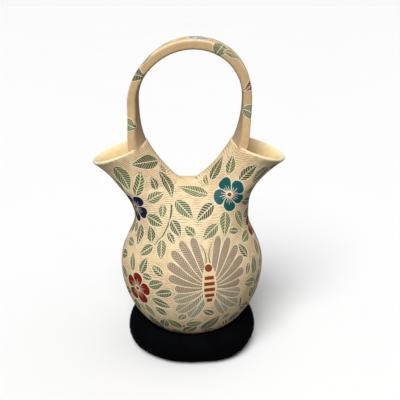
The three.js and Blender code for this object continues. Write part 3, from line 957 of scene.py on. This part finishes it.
ground = mixed(between(patches, 0.36, 0.64), buff_ground, pale_ground)
ground = mixed(between(grain, 0.35, 0.75, 0.0, 0.25), ground, grain_brown)
ground = mixed(times(stroke, 0.85), ground, scratch_brown)
worn = between(noise(place, 260.0, 4.0), 0.3, 0.7, 0.94, 1.05)
worn = add(tree, "ShaderNodeCombineColor", {"Red": worn, "Green": worn, "Blue": worn}).outputs["Color"]
coat = mixed(1.0, slip["Color"], worn, "MULTIPLY")
coat = mixed(times(scratch, 0.95), coat, scratch_cream)
depths = ((scratch, -0.5), (grain, 0.22), (groove["Fac"], -1.6), (patches, 0.4))
height = plus(*(times(part, depth) for part, depth in depths))
tree.links.new(between(patches, 0.3, 0.7, 0.46, 0.6), surface.inputs["Roughness"])
clay_colour = mixed(painted, ground, coat)
finish_surface(tree, surface, clay_colour, height, 0.00022, 0.85, {"Specular IOR Level": 0.25})

clay_vase.data.materials.append(slip_painted_clay)
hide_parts("vase_bowl", "vase_body", "vase_spouts", "vase_handle")
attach(clay_vase, "root")

# THE STUFFED RING
# A tube of black velvet, filled and sewn to a ring, which the round underside of the pot presses
# into shape. It lies flat on the table.

ring_radius, tube_half_width, tube_half_height, tube_centre = 43.5, 20.0, 20.0, 18.0
ring_turns, tube_turns, ring_broadness, ring_squareness = 150, 48, 1.6, 0.9
velvet_gap, lowest_velvet = 0.6, 0.05
filling_room, swell_cap = 2.6, 2.6
weave_size, touching_pot, touching_table = 0.0024, 0.4, 0.6
sim_frames = 20


def pressed(points_mm):
    """Keeps the filling out of the pot and above the table."""
    reach = lengths(points_mm[:, :2] - (centring, 0)) / (belly_radius + velvet_gap)
    drop = (points_mm[:, 2] - belly_height) / (belly_height - underside_height + velvet_gap)
    share = np.sqrt(reach ** 2 + drop ** 2)
    inside = (share < 1) & (points_mm[:, 2] < belly_height)
    scale = np.where(inside, 1 / np.maximum(share, 0.05), 1.0)
    centre = np.array((centring, 0, belly_height))
    pushed = centre + (points_mm - centre) * scale[:, None]
    pushed[:, 2] = np.maximum(pushed[:, 2], lowest_velvet)
    return pushed


def ring_form():
    """The tube's skin, a little uneven all round."""
    draw = random.Random(3).uniform
    waves = [(turns, draw(0, 2 * math.pi), draw(0.2, 0.5)) for turns in (2, 3, 5, 7)]
    verts, quads = [], []
    for step in range(ring_turns):
        angle = step / ring_turns * 2 * math.pi
        plump = sum(size * math.cos(turns * angle + start) for turns, start, size in waves)
        middle = ring_radius + ring_broadness * math.cos(2 * angle) - ring_squareness * math.cos(4 * angle)
        for turn in range(tube_turns):
            tube = turn / tube_turns * 2 * math.pi
            out = middle + (tube_half_width - filling_room + plump) * math.cos(tube)
            z = tube_centre + (tube_half_height - filling_room + 0.6 * plump) * math.sin(tube)
            verts.append((centring + out * math.cos(angle), out * math.sin(angle), z))
            here, ahead = step * tube_turns, (step + 1) % ring_turns * tube_turns
            up = (turn + 1) % tube_turns
            quads.append((here + turn, ahead + turn, ahead + up, here + up))
    return pressed(np.array(verts)), quads


def piece_from(name, coordinates_mm, polygons):
    mesh = bpy.data.meshes.new(name)
    mesh.from_pydata((np.asarray(coordinates_mm) * metres).tolist(), [], [tuple(face) for face in polygons])
    return shown(name, mesh)


def coordinates_of(mesh):
    flat = np.zeros(len(mesh.vertices) * 3, np.float64)
    mesh.vertices.foreach_get("co", flat)
    return flat.reshape(-1, 3) / metres


def shape_with(piece, modifier):
    bpy.ops.object.modifier_apply(modifier=modifier.name)
    return coordinates_of(piece.data)


velvet_ring = piece_from("velvet_ring", *ring_form())
bpy.context.view_layer.objects.active = velvet_ring
velvet_ring.select_set(True)
remesh = velvet_ring.modifiers.new("remesh", "REMESH")
remesh.mode, remesh.voxel_size = "VOXEL", weave_size
held = shape_with(velvet_ring, remesh)
# The velvet is held where it touches the pot and the table, and swells everywhere else.
lowered = held - (0, 0, touching_pot)
under_pot = lengths(pressed(lowered) - lowered) > 0.05
pinned = velvet_ring.vertex_groups.new(name="pinned")
pinned.add(np.nonzero(under_pot | (held[:, 2] < touching_table))[0].tolist(), 1.0, "REPLACE")
cloth = velvet_ring.modifiers.new("cloth", "CLOTH")
cloth.settings.use_pressure = True
cloth.settings.uniform_pressure_force = 4.0
cloth.settings.vertex_group_mass = "pinned"
cloth.settings.shrink_min = -0.06
cloth.settings.effector_weights.gravity = 0.0
for frame_number in range(1, sim_frames + 1):
    bpy.context.scene.frame_set(frame_number)
move = shape_with(velvet_ring, cloth) - held
bpy.context.scene.frame_set(1)
move *= np.minimum(1, swell_cap / np.maximum(lengths(move), 1e-6))[:, None]
velvet_ring.vertex_groups.clear()
velvet_ring.data.vertices.foreach_set("co", (pressed(held + move) * metres).ravel())
smoother = velvet_ring.modifiers.new("rounding", "SUBSURF")
smoother.levels = smoother.render_levels = 1
rounded = shape_with(velvet_ring, smoother)
velvet_ring.data.vertices.foreach_set("co", (pressed(rounded) * metres).ravel())
velvet_ring.data.polygons.foreach_set("use_smooth", [True] * len(velvet_ring.data.polygons))

black_velvet, tree, surface, place, patches, grain = new_material("black_velvet", 45.0, 1400.0)
nap_and_painted_sheen = noise(place, 520.0, 3.0, 0.7)
tint = mixed(between(patches, 0.3, 0.7), srgb(2, 2, 3), srgb(5, 6, 8))
# Lighter bluish specks in the colour are painted sheen on the pile; the same noise gives the nap its relief.
tint = mixed(between(nap_and_painted_sheen, 0.6, 0.8, 0.0, 0.35), tint, srgb(30, 33, 40))
height = plus(times(nap_and_painted_sheen, 0.7), times(grain, 0.5))
finish_surface(tree, surface, tint, height, 0.0006, 0.8, {
    "Roughness": 0.95, "Specular IOR Level": 0.05, "Sheen Weight": 0.015, "Sheen Roughness": 0.35,
    "Sheen Tint": (0.55, 0.62, 0.8, 1.0)})
velvet_ring.data.materials.append(black_velvet)

# The pile: short threads that stand out of the velvet everywhere but under the ring.
pile_tree, given, result = new_group("pile", "GeometryNodeTree", {
    "Velvet": "Geometry", "Density": 560000.0, "Thread Length": 0.0011, "Thread Width": 0.00022,
    "Foot": 0.003, "Seed": 5}, {"Pile": "Geometry"})
thread_lean, full_turn = 0.55, 6.28
root_place = add(pile_tree, "GeometryNodeInputPosition").outputs[0]
root_height = add(pile_tree, "ShaderNodeSeparateXYZ", {0: root_place}).outputs["Z"]
compared = {0: root_height, 1: given["Foot"]}
above_foot = add(pile_tree, "FunctionNodeCompare", compared, operation="GREATER_THAN")
roots = add(pile_tree, "GeometryNodeDistributePointsOnFaces", {
    "Mesh": given["Velvet"], "Selection": above_foot.outputs[0],
    "Density": given["Density"], "Seed": given["Seed"]}).outputs
thread = add(pile_tree, "GeometryNodeMeshCone", {
    "Vertices": 3, "Radius Top": 0.0, "Radius Bottom": given["Thread Width"],
    "Depth": given["Thread Length"]}, fill_type="NONE")
lean = add(pile_tree, "FunctionNodeRandomValue", {
    0: (-thread_lean, -thread_lean, 0.0), 1: (thread_lean, thread_lean, full_turn),
    "Seed": given["Seed"]}, data_type="FLOAT_VECTOR")
tilted = add(pile_tree, "FunctionNodeRotateRotation", {
    "Rotation": roots["Rotation"], "Rotate By": lean.outputs[0]}, rotation_space="LOCAL")
own_length = add(pile_tree, "FunctionNodeRandomValue", {
    2: 0.6, 3: 1.25, "Seed": given["Seed"]}, data_type="FLOAT")
threads = add(pile_tree, "GeometryNodeInstanceOnPoints", {
    "Points": roots["Points"], "Instance": thread.outputs["Mesh"],
    "Rotation": tilted.outputs["Rotation"], "Scale": own_length.outputs[1]})
real = add(pile_tree, "GeometryNodeRealizeInstances", {"Geometry": threads.outputs["Instances"]})
dressed = add(pile_tree, "GeometryNodeSetMaterial", {
    "Geometry": real.outputs["Geometry"], "Material": black_velvet})
pile_tree.links.new(dressed.outputs["Geometry"], result["Pile"])
pile_bed = shown("pile_bed", velvet_ring.data.copy())
pile_bed.modifiers.new("pile", "NODES").node_group = pile_tree
made = pile_bed.evaluated_get(bpy.context.evaluated_depsgraph_get())
velvet_pile = shown("velvet_pile", bpy.data.meshes.new_from_object(made))
bpy.data.objects.remove(pile_bed)

for piece in (velvet_ring, velvet_pile):
    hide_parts("ring_cushion")
    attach(piece, "root")

# THE TABLE AND THE LIGHT
# A plain pale table, wider than the camera sees, in soft light from a window in front and from the
# ceiling. To the camera, the table and the room are paler than the light that they send to the vase.

table_reach = 4000
corners = [(x * table_reach, y * table_reach, 0) for x, y in ((-1, -1), (1, -1), (1, 1), (-1, 1))]
table = piece_from("table", corners, [(0, 1, 2, 3)])
pale_table, tree, surface, place, patches, grain = new_material("pale_table", 3.0, 60.0)
pale = mixed(patches, (0.905, 0.905, 0.905), (0.935, 0.935, 0.935))
seen = add(tree, "ShaderNodeLightPath").outputs["Is Camera Ray"]
tree.links.new(mixed(seen, (0.17, 0.165, 0.16), pale), surface.inputs["Base Color"])
surface.inputs["Roughness"].default_value = 0.9
table.data.materials.append(pale_table)

room_light, room_seen = 0.17, 0.94
world = bpy.data.worlds.new("soft_room")
world.use_nodes = True
bpy.context.scene.world = world
tree = world.node_tree
room = tree.nodes["Background"]
seen = add(tree, "ShaderNodeLightPath").outputs["Is Camera Ray"]
tree.links.new(between(seen, 0.0, 1.0, room_light, room_seen), room.inputs["Strength"])
room.inputs["Color"].default_value = (1.0, 1.0, 1.0, 1.0)


def soft_sun(name, comes_from, strength, spread):
    light = bpy.data.lights.new(name, "SUN")
    light.energy, light.angle = strength, math.radians(spread)
    shown(name, light).rotation_euler = Vector(comes_from).to_track_quat("Z", "Y").to_euler()


soft_sun("window", (-0.2, -0.64, 0.86), 3.1, 34)
soft_sun("ceiling", (0.5, 0.1, 1.0), 0.5, 80)

camera_place, looks_down, looks_aside = (0.0227, -0.5776, 0.371), 21.17, 1.2
camera_data = bpy.data.cameras.new("camera")
camera_data.sensor_width, camera_data.lens = 36.0, 58.86
camera = shown("camera", camera_data)
camera.location = camera_place
camera.rotation_euler = (math.radians(90 - looks_down), 0.0, math.radians(looks_aside))
bpy.context.scene.camera = camera
bpy.context.scene.view_settings.view_transform = "Standard"
